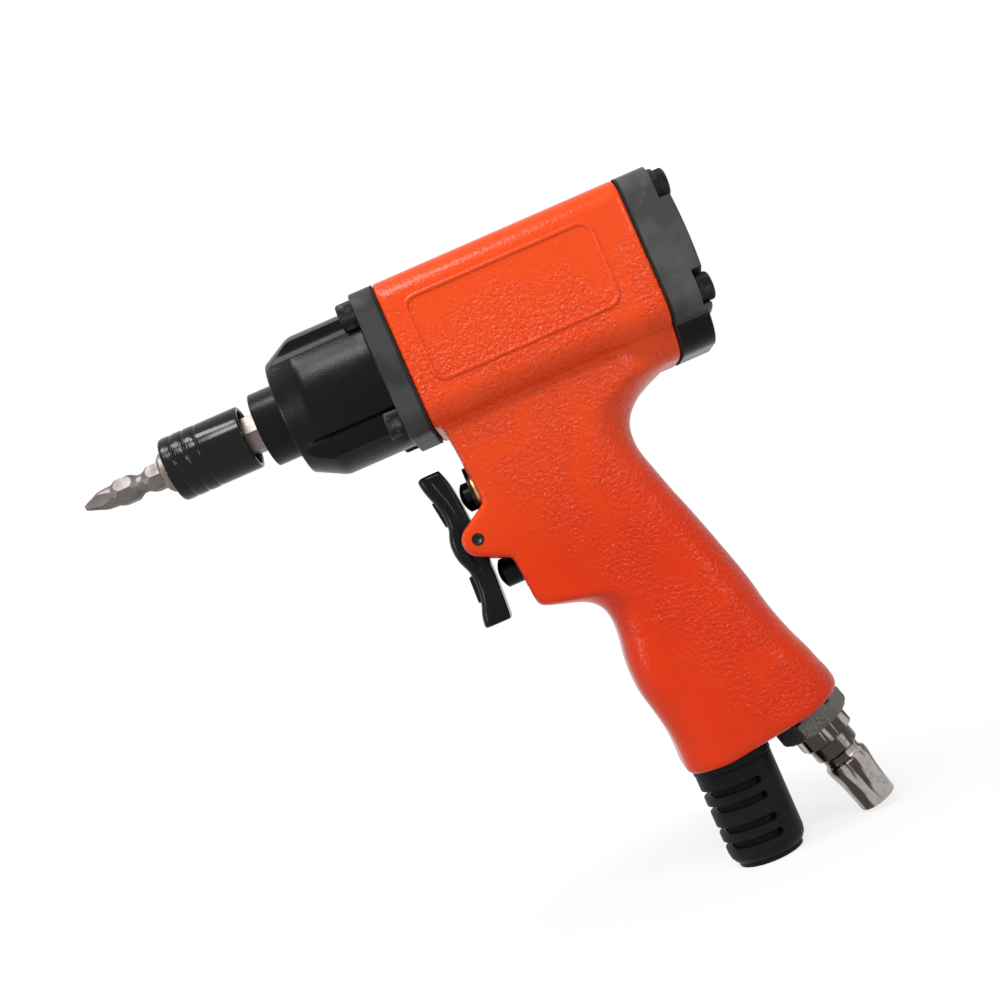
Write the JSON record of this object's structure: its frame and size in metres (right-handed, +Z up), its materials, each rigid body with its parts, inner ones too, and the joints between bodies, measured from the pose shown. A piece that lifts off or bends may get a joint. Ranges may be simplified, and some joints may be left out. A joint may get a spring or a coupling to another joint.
{
  "type": "pneumatic screwdriver",
  "caption": "Pistol-grip pneumatic impact screwdriver with a quick-change hexagon chuck, a two-way rocker trigger, an air plug and an exhaust muffler.",
  "frame": {"origin": "on the spindle axis, at the mouth of the bit socket", "axes": "+X along the spindle towards the bit, +Y to the left side of the tool, +Z up, away from the grip"},
  "size_m": [0.1629, 0.0386, 0.1663],
  "materials": {
    "textured_orange_paint": "textured",
    "black_case_coat": "satin",
    "black_cover_coat": "satin",
    "black_sleeve_coat": "satin",
    "black_oxide_steel": "satin",
    "black_plastic": "matte",
    "bright_steel": "polished",
    "dull_steel": "satin",
    "spring_steel": "satin",
    "brass": "satin",
    "seal_rubber": "matte",
    "gasket_fibre": "matte",
    "vane_composite": "matte",
    "muffler_felt": "matte"
  },
  "bodies": {
    "tool": {"hammer_case": "black_case_coat", "anvil_bush": "brass", "nose_seal": "seal_rubber", "thrust_washer": "brass", "front_screws": "black_oxide_steel", "case_gasket": "gasket_fibre", "housing": "textured_orange_paint", "cylinder_liner": "dull_steel", "liner_pin": "bright_steel", "front_end_plate": "dull_steel", "rear_end_plate": "dull_steel", "bearing_outer_rings": "dull_steel", "rear_gasket": "gasket_fibre", "rear_cover": "black_cover_coat", "rear_screws": "black_oxide_steel", "trigger_pin": "bright_steel", "upper_valve_bush": "brass", "lower_valve_bush": "brass", "upper_valve_spring": "spring_steel", "lower_valve_spring": "spring_steel", "valve_retainer": "black_oxide_steel", "inlet_adapter": "dull_steel", "adapter_seal": "seal_rubber", "inlet_screen": "brass", "inlet_plug": "bright_steel", "muffler_body": "black_plastic", "muffler_element": "muffler_felt", "muffler_cap": "black_plastic"},
    "rotor": {"rotor": "dull_steel", "rotor_vanes": "vane_composite", "bearing_inner_rings": "dull_steel", "hammer_cage": "dull_steel", "hammer_pins": "bright_steel"},
    "ball_train": {"bearing_balls": "bright_steel"},
    "front_hammer": {"front_hammer": "dull_steel"},
    "rear_hammer": {"rear_hammer": "dull_steel"},
    "anvil": {"anvil": "bright_steel", "driver_bit": "bright_steel", "locking_balls": "bright_steel", "sleeve_stop_ring": "dull_steel", "spring_clip": "dull_steel", "chuck_spring": "spring_steel"},
    "sleeve": {"chuck_sleeve": "black_sleeve_coat"},
    "trigger": {"trigger": "black_plastic"},
    "upper_valve": {"upper_valve_button": "black_plastic", "upper_valve_seal": "seal_rubber"},
    "lower_valve": {"lower_valve_button": "black_plastic", "lower_valve_seal": "seal_rubber"}
  },
  "joints": [
    {"name": "rotor_spin", "type": "hinge", "parent": "tool", "child": "rotor", "pos_m": [-0.09, 0, 0], "axis": [1, 0, 0], "continuous": true},
    {"name": "ball_train_spin", "type": "hinge", "parent": "tool", "child": "ball_train", "pos_m": [-0.09, 0, 0], "axis": [1, 0, 0], "continuous": true},
    {"name": "front_hammer_swing", "type": "hinge", "parent": "rotor", "child": "front_hammer", "pos_m": [-0.045, 0, 0.0113], "axis": [1, 0, 0], "range_deg": [-3.5, 3.5]},
    {"name": "rear_hammer_swing", "type": "hinge", "parent": "rotor", "child": "rear_hammer", "pos_m": [-0.052, 0, -0.0113], "axis": [1, 0, 0], "range_deg": [-3.5, 3.5]},
    {"name": "anvil_spin", "type": "hinge", "parent": "tool", "child": "anvil", "pos_m": [0, 0, 0], "axis": [1, 0, 0], "continuous": true},
    {"name": "sleeve_slide", "type": "slide", "parent": "anvil", "child": "sleeve", "axis": [-1, 0, 0], "range_m": [0, 0.003], "stiffness_N_per_m": 1500, "deforming": ["chuck_spring"]},
    {"name": "trigger_rock", "type": "hinge", "parent": "tool", "child": "trigger", "pos_m": [-0.0658, 0, -0.047], "axis": [0, -1, 0], "range_deg": [-12, 12], "stiffness_Nm_per_rad": 0.25},
    {"name": "upper_valve_press", "type": "slide", "parent": "tool", "child": "upper_valve", "axis": [-1, 0, 0], "range_m": [-0.0022, 0.0022], "deforming": ["upper_valve_spring"]},
    {"name": "lower_valve_press", "type": "slide", "parent": "tool", "child": "lower_valve", "axis": [-1, 0, 0], "range_m": [-0.0016, 0.0016], "deforming": ["lower_valve_spring"]}
  ],
  "couplings": [
    {"joint": "ball_train_spin", "follows": "rotor_spin", "ratio": 0.41667},
    {"joint": "anvil_spin", "follows": "rotor_spin", "ratio": 1},
    {"joint": "upper_valve_press", "follows": "trigger_rock", "m_per_rad": 0.0105},
    {"joint": "lower_valve_press", "follows": "trigger_rock", "m_per_rad": -0.00763}
  ]
}
